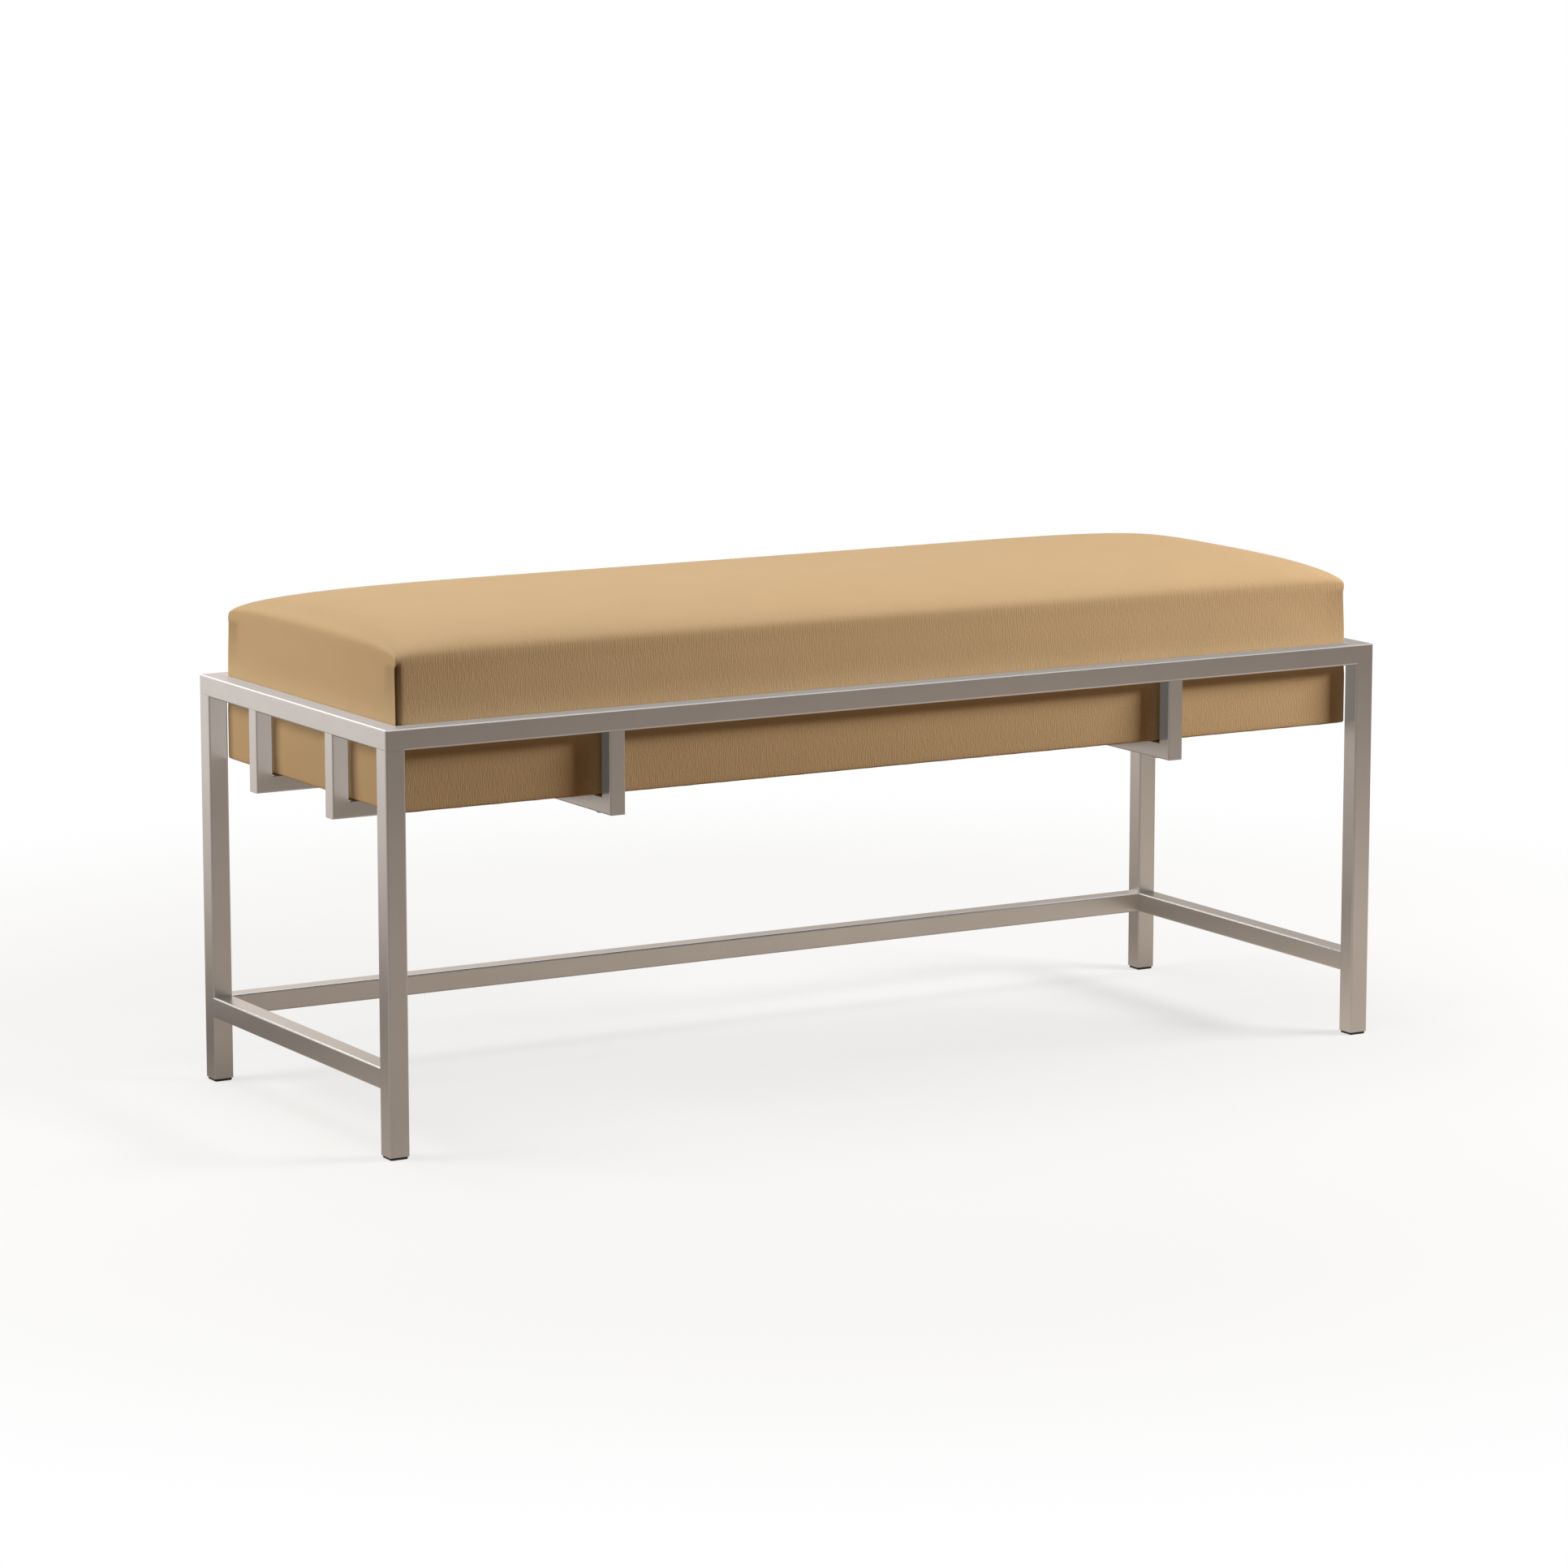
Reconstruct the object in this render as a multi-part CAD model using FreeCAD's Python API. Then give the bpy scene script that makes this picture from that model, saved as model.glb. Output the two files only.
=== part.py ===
# Upholstered bench: a welded frame of square steel tube whose top ring carries four hanging cradles.
# A deep upholstered box seat drops through the ring and rests on the cradles.
# Millimetres. X runs along the length, +Y to the back, +Z up. The origin is on the floor, under the middle.
import FreeCAD, Part
import math
import os

os.makedirs("parts", exist_ok=True)

Vector = FreeCAD.Vector

# Frame of square tube
frame_length = 1200.0
frame_depth = 440.0
frame_height = 435.0
tube_size = 22.0
tube_wall = 1.5
tube_corner = 2.0
stretcher_clearance = 70.0

# Cradles of lighter tube that hang from the ring
cradle_size = 18.0
cradle_wall = 1.2
cradle_corner = 1.6
cradle_drop = 67.5
cross_cradle_x = 340.0
long_cradle_y = 90.0

# A coped tube end runs up beside its neighbour's rounded edge by this share of the edge's radius
cope_share = 0.7

# Push-in glides under the legs
glide_thickness = 3.0
glide_inset = 1.2
glide_edge = 0.8
glide_fit = 0.1
glide_stem_height = 16.0
glide_core_inset = 1.4
glide_rib_count = 3
glide_rib_height = 2.0

# Upholstered seat
seat_gap = 0.5
seat_corner = 8.0
least_corner = 2.0
seat_side_height = 60.7
seat_crown = 40.8
crown_power = 2.3
crown_corner_growth = 0.6
crown_corner_limit = 0.9
# Levels of the crown, each as a share of the way out from the middle to the sides
crown_shares = (1.0, 0.985, 0.94, 0.84, 0.66, 0.42, 0.15)
trim_cuts = 3
side_draw = 2.0
cover_thickness = 1.5
cover_hem = 20.0
wadding_thickness = 4.0
dust_thickness = 0.8
dust_inset = 8.0

# Wooden box inside the seat
box_rail_thickness = 18.0
box_rail_height = 75.0
deck_thickness = 9.0
batten_x = 190.0
batten_thickness = 18.0
batten_lift = 15.0
corner_block_leg = 50.0
corner_block_lift = 15.0

# Wood screws that hold the seat to the cradles from below
screw_diameter = 4.5
screw_length = 40.0
screw_head_diameter = 9.0
screw_head_height = 3.0
screw_clearance = 0.5
pilot_clearance = 0.05

# Levels and half sizes that follow from the sizes above
half_length = frame_length / 2
half_depth = frame_depth / 2
ring_bottom = frame_height - tube_size
cradle_top = ring_bottom - cradle_drop
cradle_bottom = cradle_top - cradle_size
seat_inset = max(tube_size, cradle_size) + seat_gap
seat_half_length = half_length - seat_inset
seat_half_depth = half_depth - seat_inset
seat_bottom = cradle_top + dust_thickness
side_top = frame_height + seat_side_height
box_inset = cover_thickness + wadding_thickness
box_half_length = seat_half_length - box_inset
box_half_depth = seat_half_depth - box_inset
box_bottom = seat_bottom + cover_thickness
box_top = box_bottom + box_rail_height
deck_top = box_top + deck_thickness
box_rail_x = box_half_length - box_rail_thickness / 2
box_rail_y = box_half_depth - box_rail_thickness / 2

DIRECTIONS = {"x": Vector(1, 0, 0), "y": Vector(0, 1, 0), "z": Vector(0, 0, 1)}
ENDS = (("left", -1), ("right", 1))
SIDES = (("front", -1), ("back", 1))


def save(shape, node):
    """Write one piece, or one group of like pieces, under its name."""
    shape.exportStep("parts/" + node + ".step")


def rounded_rectangle(width, depth, radius):
    """Closed outline in the XY plane round the origin: four lines and four quarter arcs, or plain corners."""
    x = width / 2
    y = depth / 2
    if radius <= 0:
        corners = [Vector(-x, -y), Vector(x, -y), Vector(x, y), Vector(-x, y), Vector(-x, -y)]
        return Part.makePolygon(corners)
    bulge = radius * (1 - math.sqrt(0.5))
    edges = []
    for sign_x, sign_y in ((1, -1), (1, 1), (-1, 1), (-1, -1)):
        before = Vector(sign_x * (x - radius), sign_y * y)
        after = Vector(sign_x * x, sign_y * (y - radius))
        if sign_x == sign_y:
            before, after = after, before
        middle = Vector(sign_x * (x - bulge), sign_y * (y - bulge))
        if edges:
            edges.append(Part.makeLine(edges[-1].Vertexes[-1].Point, before))
        edges.append(Part.Arc(before, middle, after).toShape())
    edges.append(Part.makeLine(edges[-1].Vertexes[-1].Point, edges[0].Vertexes[0].Point))
    return Part.Wire(edges)


def bar(axis, start, length, gauge):
    """Square bar with a gauge's rounded edges, from the start point along an axis."""
    size, corner, _ = gauge
    solid = Part.Face(rounded_rectangle(size, size, corner)).extrude(Vector(0, 0, length))
    solid.Placement = FreeCAD.Placement(start, FreeCAD.Rotation(Vector(0, 0, 1), DIRECTIONS[axis]))
    return solid


def tube(axis, start, length, gauge):
    """Square tube: the bar less its plain square bore."""
    size, _, wall = gauge
    bore = bar(axis, start, length, (size - 2 * wall, 0, 0))
    return bar(axis, start, length, gauge).cut(bore)


def prism(points, extrusion):
    """Straight prism on a flat polygon."""
    return Part.Face(Part.makePolygon(points + points[:1])).extrude(extrusion)


def block(low, high):
    """Plain box between two corners."""
    size = high - low
    return Part.makeBox(size.x, size.y, size.z, low)


# Two gauges of tube: size, edge radius and wall
FRAME_GAUGE = (tube_size, tube_corner, tube_wall)
CRADLE_GAUGE = (cradle_size, cradle_corner, cradle_wall)
frame_cope = cope_share * tube_corner
cradle_cope = cope_share * cradle_corner
leg_x = half_length - tube_size / 2
leg_y = half_depth - tube_size / 2


# Top ring: four rails, mitred at the corners, with the outer corners rounded like the legs below
def ring_rail_space(axis, side):
    """Plan of one rail between its mitres, as a prism over the ring's height."""
    long_half, across = (half_length, half_depth) if axis == "x" else (half_depth, half_length)
    outer = side * across
    inner = side * (across - tube_size)
    plan = [(-long_half, outer), (long_half, outer)]
    plan += [(long_half - tube_size, inner), (tube_size - long_half, inner)]
    if axis == "y":
        plan = [(second, first) for first, second in plan]
    points = [Vector(x, y, ring_bottom) for x, y in plan]
    trapezium = prism(points, Vector(0, 0, tube_size))
    outline = Part.Face(rounded_rectangle(frame_length, frame_depth, tube_corner))
    outline.translate(Vector(0, 0, ring_bottom))
    return trapezium.common(outline.extrude(Vector(0, 0, tube_size)))


ring_centre = ring_bottom + tube_size / 2
ring_solids = {}
for axis, places in (("x", SIDES), ("y", ENDS)):
    for name, side in places:
        if axis == "x":
            start = Vector(-half_length, side * leg_y, ring_centre)
            length = frame_length
        else:
            start = Vector(side * leg_x, -half_depth, ring_centre)
            length = frame_depth
        space = ring_rail_space(axis, side)
        ring_solids[name] = bar(axis, start, length, FRAME_GAUGE).common(space)
        save(tube(axis, start, length, FRAME_GAUGE).common(space), "top_rail_" + name)

# Legs: they stand on the glides and are coped to the ring's rounded lower edges
leg_solids = {}
for end, end_sign in ENDS:
    for side, side_sign in SIDES:
        start = Vector(end_sign * leg_x, side_sign * leg_y, glide_thickness)
        length = ring_bottom + frame_cope - glide_thickness
        leg_solids[side, end] = bar("z", start, length, FRAME_GAUGE)
        leg = tube("z", start, length, FRAME_GAUGE)
        leg = leg.cut([ring_solids[end], ring_solids[side]])
        save(leg, "leg_" + side + "_" + end)

# Lower stretchers: one at the back and one at each end, coped to the legs; the front is open
stretcher_centre = stretcher_clearance + tube_size / 2
back_start = Vector(tube_size - half_length - frame_cope, leg_y, stretcher_centre)
back_length = frame_length - 2 * (tube_size - frame_cope)
back_legs = [leg_solids["back", "left"], leg_solids["back", "right"]]
save(tube("x", back_start, back_length, FRAME_GAUGE).cut(back_legs), "stretcher_back")
back_solid = bar("x", back_start, back_length, FRAME_GAUGE)
for end, end_sign in ENDS:
    start = Vector(end_sign * leg_x, tube_size - half_depth - frame_cope, stretcher_centre)
    length = frame_depth - 2 * (tube_size - frame_cope)
    neighbours = [leg_solids["front", end], leg_solids["back", end], back_solid]
    stretcher = tube("y", start, length, FRAME_GAUGE).cut(neighbours)
    save(stretcher, "stretcher_" + end)


# Cradles: posts welded under the ring, mitred at the foot to bars that run under the seat
def screw_holes(shape):
    """Clearance holes up through a cradle bar, at each screw that lies on it."""
    for x, y in seat_screw_places:
        radius = screw_diameter / 2 + screw_clearance
        hole = Part.makeCylinder(radius, cradle_size, Vector(x, y, cradle_bottom))
        shape = shape.cut(hole)
    return shape


def cradle_plane(axis, along, across, height):
    """Point of a cradle that runs along an axis."""
    return Vector(along, across, height) if axis == "x" else Vector(across, along, height)


def cradle_post(axis, side, reach, across, rail):
    """Post at one end of a cradle: coped to the rail above, with a mitre at its foot."""
    outer = side * reach
    inner = side * (reach - cradle_size)
    top = ring_bottom + cradle_cope
    outline = [(outer, cradle_bottom), (inner, cradle_top), (inner, top), (outer, top)]
    near = across - cradle_size / 2
    width = cradle_plane(axis, 0, cradle_size, 0)
    space = prism([cradle_plane(axis, along, near, height) for along, height in outline], width)
    start = cradle_plane(axis, (outer + inner) / 2, across, cradle_bottom)
    post = tube("z", start, top - cradle_bottom, CRADLE_GAUGE)
    return post.common(space).cut(rail)


def cradle_bar_space(axis, reach, across):
    """Room of a cradle bar between its two mitres."""
    outline = [(-reach, cradle_bottom), (reach, cradle_bottom)]
    outline += [(reach - cradle_size, cradle_top), (cradle_size - reach, cradle_top)]
    near = across - cradle_size / 2
    width = cradle_plane(axis, 0, cradle_size, 0)
    return prism([cradle_plane(axis, along, near, height) for along, height in outline], width)


cradle_centre = cradle_bottom + cradle_size / 2
seat_screw_places = [(end * cross_cradle_x, side * box_rail_y) for end in (-1, 1) for side in (-1, 1)]
long_bar_solids = []
for side, side_sign in SIDES:
    across = side_sign * long_cradle_y
    start = Vector(-half_length, across, cradle_centre)
    space = cradle_bar_space("x", half_length, across)
    long_bar_solids.append(bar("x", start, frame_length, CRADLE_GAUGE))
    long_bar = tube("x", start, frame_length, CRADLE_GAUGE).common(space)
    save(long_bar, "cradle_bar_" + side)
    for end, end_sign in ENDS:
        post = cradle_post("x", end_sign, half_length, across, ring_solids[end])
        save(post, end + "_hanger_" + side)

# The two cross cradles meet the long bars at the same level, so each is cut into three coped lengths
long_bar_near = long_cradle_y - cradle_size / 2 + cradle_cope
long_bar_far = long_cradle_y + cradle_size / 2 - cradle_cope
cross_lengths = (
    ("front", -half_depth, -long_bar_far),
    ("middle", -long_bar_near, long_bar_near),
    ("back", long_bar_far, half_depth),
)
for end, end_sign in ENDS:
    across = end_sign * cross_cradle_x
    space = cradle_bar_space("y", half_depth, across)
    for part, low, high in cross_lengths:
        start = Vector(across, low, cradle_centre)
        cross_bar = tube("y", start, high - low, CRADLE_GAUGE).common(space)
        cross_bar = cross_bar.cut(long_bar_solids)
        save(screw_holes(cross_bar), "cradle_cross_" + end + "_" + part)
    for side, side_sign in SIDES:
        post = cradle_post("y", side_sign, half_depth, across, ring_solids[side])
        save(post, side + "_hanger_" + end)


# Glides: a flat pad on the floor and a ribbed stem pushed up into the leg
def glide():
    """Pad with a bevelled lower edge, a square core and ribs that grip the bore."""
    pad_size = tube_size - 2 * glide_inset
    bore = tube_size - 2 * tube_wall - 2 * glide_fit
    core = bore - 2 * glide_core_inset
    outline = rounded_rectangle(pad_size, pad_size, tube_corner)
    pad = Part.Face(outline).extrude(Vector(0, 0, glide_thickness))
    foot_edges = [edge for edge in pad.Edges if edge.BoundBox.ZMax < glide_thickness / 2]
    piece = pad.makeChamfer(glide_edge, foot_edges)
    stem_top = glide_thickness + glide_stem_height
    stem = block(Vector(-core / 2, -core / 2, glide_thickness), Vector(core / 2, core / 2, stem_top))
    piece = piece.fuse(stem)
    pitch = glide_stem_height / glide_rib_count
    for index in range(glide_rib_count):
        low = glide_thickness + index * pitch + (pitch - glide_rib_height) / 2
        rib = block(Vector(-bore / 2, -bore / 2, low), Vector(bore / 2, bore / 2, low + glide_rib_height))
        piece = piece.fuse(rib)
    return piece.removeSplitter()


for end, end_sign in ENDS:
    for side, side_sign in SIDES:
        piece = glide()
        piece.translate(Vector(end_sign * leg_x, side_sign * leg_y, 0))
        save(piece, "glide_" + side + "_" + end)


# Seat: a crowned form for the cover, and plainer ones of the same rise inside it
def crown_sections(inset):
    """Half sizes, corner radius, draw and height of each level of a seat form, from its bottom upwards.

    Above the top of the side the section shrinks evenly: at a distance d in from the sides its height is
    crown * (1 - (1 - d/b)^p)^(1/p), where b is half the depth and p the crown's power.
    """
    half_x = seat_half_length - inset
    half_y = seat_half_depth - inset
    corner = max(seat_corner - inset, least_corner)
    sections = [(half_x, half_y, corner, 0, seat_bottom), (half_x, half_y, corner, 0, frame_height)]
    for share in crown_shares:
        away = half_y * (1 - share)
        height = side_top - inset + seat_crown * (1 - share**crown_power) ** (1 / crown_power)
        turn = min(corner + crown_corner_growth * away, crown_corner_limit * half_y * share)
        sections.append((half_x - away, half_y - away, turn, side_draw * share**2, height))
    return sections


def corner_turns(half_x, half_y, corner, height, steps):
    """Points round each of the four corners of an oblong, from the front right corner anticlockwise."""
    turns = []
    for index, (sign_x, sign_y) in enumerate(((1, -1), (1, 1), (-1, 1), (-1, -1))):
        centre = Vector(sign_x * (half_x - corner), sign_y * (half_y - corner), height)
        angles = [math.pi / 2 * (index - 1 + step / steps) for step in range(steps + 1)]
        turns.append([centre + Vector(math.cos(angle), math.sin(angle), 0) * corner for angle in angles])
    return turns


def drawn_outline(half_x, half_y, corner, draw, height):
    """Oblong with rounded corners, whose sides are arcs drawn in at their middles, or lines."""
    turns = corner_turns(half_x, half_y, corner, height, 2)
    middles = [(half_x - draw, 0), (0, half_y - draw), (draw - half_x, 0), (0, draw - half_y)]
    edges = []
    for index, turn in enumerate(turns):
        following = turns[(index + 1) % len(turns)][0]
        edges.append(Part.Arc(*turn).toShape())
        if draw > 0:
            edges.append(Part.Arc(turn[-1], Vector(*middles[index], height), following).toShape())
        else:
            edges.append(Part.makeLine(turn[-1], following))
    return Part.Wire(edges)


def cover_form():
    """The seat's outside: straight up to the ring, drawn in a little above it, then crowned."""
    return Part.makeLoft([drawn_outline(*section) for section in crown_sections(0)], True, True)


def inner_form(inset):
    """Straight-sided layer inside the cover, trimmed with flat cuts at the corners and on the crown."""
    rings = []
    for half_x, half_y, corner, draw, height in crown_sections(inset):
        turns = corner_turns(half_x - draw, half_y - draw, corner, height, trim_cuts)
        rings.append([point for turn in turns for point in turn])
    faces = [Part.Face(Part.makePolygon(ring + ring[:1])) for ring in (rings[0], rings[-1])]
    for lower, upper in zip(rings, rings[1:]):
        for index in range(len(lower)):
            corners = [lower[index - 1], lower[index], upper[index], upper[index - 1]]
            faces.append(Part.Face(Part.makePolygon(corners + corners[:1])))
    return Part.Solid(Part.Shell(faces))


def above(shape, height):
    """What of a seat layer lies above a level."""
    room = block(
        Vector(-half_length, -half_depth, height),
        Vector(half_length, half_depth, side_top + seat_crown),
    )
    return shape.common(room)


outer_form = cover_form()
cover_inside = above(inner_form(cover_thickness), box_bottom)
foam_form = above(inner_form(box_inset), deck_top)
hem_opening = block(
    Vector(cover_hem - seat_half_length, cover_hem - seat_half_depth, seat_bottom),
    Vector(seat_half_length - cover_hem, seat_half_depth - cover_hem, box_bottom),
)
box_room = block(
    Vector(-box_half_length, -box_half_depth, box_bottom),
    Vector(box_half_length, box_half_depth, deck_top),
)


# Seat screws: up through the cross cradles into the box's long rails
def seat_screw(x, y, spare=0.0):
    """Screw pointing up from under a cradle bar: a flat head and its shank."""
    under_head = Vector(x, y, cradle_bottom - screw_head_height)
    head = Part.makeCylinder(screw_head_diameter / 2, screw_head_height, under_head)
    shank = Part.makeCylinder(screw_diameter / 2 + spare, screw_length + spare, Vector(x, y, cradle_bottom))
    return head.fuse(shank)


save(Part.makeCompound([seat_screw(x, y) for x, y in seat_screw_places]), "seat_screws")
pilots = [seat_screw(x, y, pilot_clearance) for x, y in seat_screw_places]

# Wooden box: long rails front and back, short rails between them, deck on top
short_half = box_half_depth - box_rail_thickness
for side, side_sign in SIDES:
    y = side_sign * box_rail_y
    rail = block(
        Vector(-box_half_length, y - box_rail_thickness / 2, box_bottom),
        Vector(box_half_length, y + box_rail_thickness / 2, box_top),
    )
    save(rail.cut(pilots), "box_rail_" + side)
for end, end_sign in ENDS:
    x = end_sign * box_rail_x
    rail = block(
        Vector(x - box_rail_thickness / 2, -short_half, box_bottom),
        Vector(x + box_rail_thickness / 2, short_half, box_top),
    )
    save(rail, "box_rail_" + end)
    x = end_sign * batten_x
    batten = block(
        Vector(x - batten_thickness / 2, -short_half, box_bottom + batten_lift),
        Vector(x + batten_thickness / 2, short_half, box_top),
    )
    save(batten, "deck_batten_" + end)
    for side, side_sign in SIDES:
        corner_x = end_sign * (box_half_length - box_rail_thickness)
        corner_y = side_sign * short_half
        points = [
            Vector(corner_x, corner_y, box_top),
            Vector(corner_x - end_sign * corner_block_leg, corner_y, box_top),
            Vector(corner_x, corner_y - side_sign * corner_block_leg, box_top),
        ]
        drop = Vector(0, 0, corner_block_lift - box_rail_height)
        save(prism(points, drop), "corner_block_" + side + "_" + end)
deck = block(
    Vector(-box_half_length, -box_half_depth, box_top),
    Vector(box_half_length, box_half_depth, deck_top),
)
save(deck, "seat_deck")

# Upholstery over the box: foam on the deck, wadding over foam and box, fabric with its hem turned under
save(foam_form, "foam_block")
save(cover_inside.cut([foam_form, box_room]), "wadding")
cover = outer_form.cut([cover_inside, hem_opening])
save(cover.cut(pilots), "seat_cover")

# Dust cover: one sheet of cloth tacked over the hem, between the seat and the cradle bars
dust_outline = rounded_rectangle(
    2 * (seat_half_length - dust_inset), 2 * (seat_half_depth - dust_inset), seat_corner
)
dust_cover = Part.Face(dust_outline).extrude(Vector(0, 0, dust_thickness))
dust_cover.translate(Vector(0, 0, cradle_top))
save(dust_cover.cut(pilots), "dust_cover")
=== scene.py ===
import math

import bpy
import numpy as np
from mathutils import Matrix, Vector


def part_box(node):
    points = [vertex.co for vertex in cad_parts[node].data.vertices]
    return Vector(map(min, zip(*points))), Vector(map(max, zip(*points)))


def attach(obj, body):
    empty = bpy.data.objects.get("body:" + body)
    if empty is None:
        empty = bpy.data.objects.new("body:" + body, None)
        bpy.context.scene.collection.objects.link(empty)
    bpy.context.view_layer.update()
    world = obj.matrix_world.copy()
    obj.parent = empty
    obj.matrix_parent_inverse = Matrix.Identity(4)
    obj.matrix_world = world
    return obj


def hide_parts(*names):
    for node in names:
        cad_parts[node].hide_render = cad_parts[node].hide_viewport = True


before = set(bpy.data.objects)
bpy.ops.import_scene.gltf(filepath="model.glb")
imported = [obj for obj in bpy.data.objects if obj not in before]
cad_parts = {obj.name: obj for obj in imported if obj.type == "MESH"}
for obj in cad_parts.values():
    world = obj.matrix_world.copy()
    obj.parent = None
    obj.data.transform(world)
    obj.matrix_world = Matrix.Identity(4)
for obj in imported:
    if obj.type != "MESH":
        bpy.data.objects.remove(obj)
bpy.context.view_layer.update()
MM = 0.001

# Frame: legs, top ring, lower stretchers and the cradles that hang from the ring.
# Square steel tube, mitred or coped, welded, the welds ground flush, and the whole plated in satin nickel
# after being brushed along each tube.
NICKEL_LIGHT = "CFCBC7"
NICKEL_DARK = "C6C2BE"
BRUSH_WIDTH = 0.8 * MM
BRUSH_LENGTH = 110 * MM
PLATING_CLOUD = 70 * MM


def linear(hex_colour):
    """Linear RGBA of an sRGB hex colour."""
    values = np.array([int(hex_colour[place:place + 2], 16) for place in (0, 2, 4)]) / 255
    low = values / 12.92
    high = ((values + 0.055) / 1.055) ** 2.4
    return (*np.where(values <= 0.04045, low, high), 1.0)


def add_node(tree, kind, settings, inputs):
    """Add a node. Settings are its attributes; inputs are its sockets, each a value or an output to link."""
    made = tree.nodes.new(kind)
    for name, value in settings.items():
        setattr(made, name, value)
    for socket, value in inputs.items():
        if isinstance(value, bpy.types.NodeSocket):
            tree.links.new(value, made.inputs[socket])
        else:
            made.inputs[socket].default_value = value
    return made


def new_material(name):
    """An empty node material, with its tree and its output node."""
    material = bpy.data.materials.new(name)
    material.use_nodes = True
    material.node_tree.nodes.clear()
    output = add_node(material.node_tree, "ShaderNodeOutputMaterial", {}, {})
    return material, material.node_tree, output


def satin_nickel(axis):
    """Satin nickel plate over steel brushed along one axis.

    The brushing gives a soft sheen that is a little uneven across the tube, and the plating clouds faintly.
    Real brush lines are about 0.2 mm apart; they are drawn 0.8 mm apart, to show in the render.
    """
    material, tree, output = new_material("satin_nickel_brushed_" + "xyz"[axis])
    place = add_node(tree, "ShaderNodeTexCoord", {}, {}).outputs["Object"]
    stretch = [1 / BRUSH_WIDTH] * 3
    stretch[axis] = 1 / BRUSH_LENGTH
    along = add_node(tree, "ShaderNodeMapping", {}, {"Vector": place, "Scale": stretch}).outputs[0]
    brush = add_node(tree, "ShaderNodeTexNoise", {}, {
        "Vector": along, "Scale": 1.0, "Detail": 2.0}).outputs[0]
    cloud = add_node(tree, "ShaderNodeTexNoise", {}, {
        "Vector": place, "Scale": 1 / PLATING_CLOUD, "Detail": 3.0}).outputs[0]
    tone = add_node(tree, "ShaderNodeMix", {"data_type": "RGBA"}, {
        0: cloud, 6: linear(NICKEL_DARK), 7: linear(NICKEL_LIGHT)}).outputs[2]
    dull = add_node(tree, "ShaderNodeMapRange", {}, {
        "Value": brush, "From Min": 0.3, "From Max": 0.7, "To Min": 0.28, "To Max": 0.33}).outputs[0]
    lines = add_node(tree, "ShaderNodeBump", {}, {
        "Height": brush, "Strength": 0.05, "Distance": 0.02 * MM}).outputs[0]
    shader = add_node(tree, "ShaderNodeBsdfPrincipled", {}, {
        "Base Color": tone, "Metallic": 1.0, "Roughness": dull, "Normal": lines})
    tree.links.new(shader.outputs[0], output.inputs[0])
    return material


def dress(node, material):
    """Give a CAD node one material."""
    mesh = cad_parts[node].data
    mesh.materials.clear()
    mesh.materials.append(material)


def tube_axis(node):
    """The axis that a tube runs along: 0, 1 or 2."""
    low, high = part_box(node)
    return int(np.argmax(np.array(high) - np.array(low)))


TUBE_NAMES = ("leg_", "top_rail_", "stretcher_", "cradle_")
nickel = [satin_nickel(axis) for axis in range(3)]
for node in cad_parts:
    if node.startswith(TUBE_NAMES) or "_hanger_" in node:
        dress(node, nickel[tube_axis(node)])

# Leg welds: the beads that join the legs to the ring, ground flush with the outer faces and plated too.
# They close the fine groove between a leg's coped end and the ring's rounded lower edge.
WELD_PROUD = 0.03 * MM
WELD_LOW = 1.0 * MM
WELD_HIGH = 2.4 * MM
TUBE_EDGE = 2.0 * MM

ring_low, ring_high = (np.array(corner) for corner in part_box("top_rail_front"))
ring_foot = ring_low[2]
ring_top = ring_high[2]
tube_size = ring_top - ring_foot


def mesh_piece(name, points, quads, material):
    """A smooth mesh of quads between points, at the origin."""
    mesh = bpy.data.meshes.new(name)
    mesh.from_pydata(points.tolist(), [], quads.tolist())
    mesh.polygons.foreach_set("use_smooth", [True] * len(mesh.polygons))
    if material:
        mesh.materials.append(material)
    piece = bpy.data.objects.new(name, mesh)
    bpy.context.scene.collection.objects.link(piece)
    return piece


def tube_quads(rings, sides):
    """Quads round a run of rings of points, open at both ends."""
    first = np.arange(rings - 1)[:, None] * sides + np.arange(sides)
    following = np.arange(rings - 1)[:, None] * sides + (np.arange(sides) + 1) % sides
    return np.stack([first, following, following + sides, first + sides], axis=-1).reshape(-1, 4)


def weld_rings(sign_x, sign_y):
    """A flat band round a leg's outer corner: along one face, a quarter turn round the edge, along the other.

    At each place along it there are four points: on the tube and a little proud of it, at a low and a high
    level. Both ends are drawn together to close the band.
    """
    turn = np.linspace(0, math.pi / 2, 7)
    reach = tube_size - 2 * TUBE_EDGE
    middle = np.array([ring_high[0], -ring_low[1]]) - TUBE_EDGE
    outward = np.stack([np.sin(turn), np.cos(turn)], axis=1)
    outward = np.concatenate([outward[:1], outward[:1], outward, outward[-1:], outward[-1:]])
    start = np.zeros_like(outward)
    start[:2, 0] = -reach
    start[-2:, 1] = -reach
    proud = np.array([0, WELD_PROUD, WELD_PROUD, 0])
    level = np.array([-WELD_LOW, -WELD_LOW, WELD_HIGH, WELD_HIGH])
    plan = middle + start[:, None, :] + outward[:, None, :] * (TUBE_EDGE + proud)[:, None]
    rings = np.concatenate([plan, np.broadcast_to(ring_foot + level, plan.shape[:2])[..., None]], axis=-1)
    rings[[0, -1]] = rings[[0, -1]].mean(axis=1, keepdims=True)
    rings = rings * (sign_x, sign_y, 1)
    return rings if sign_x * sign_y > 0 else rings[::-1]


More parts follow.
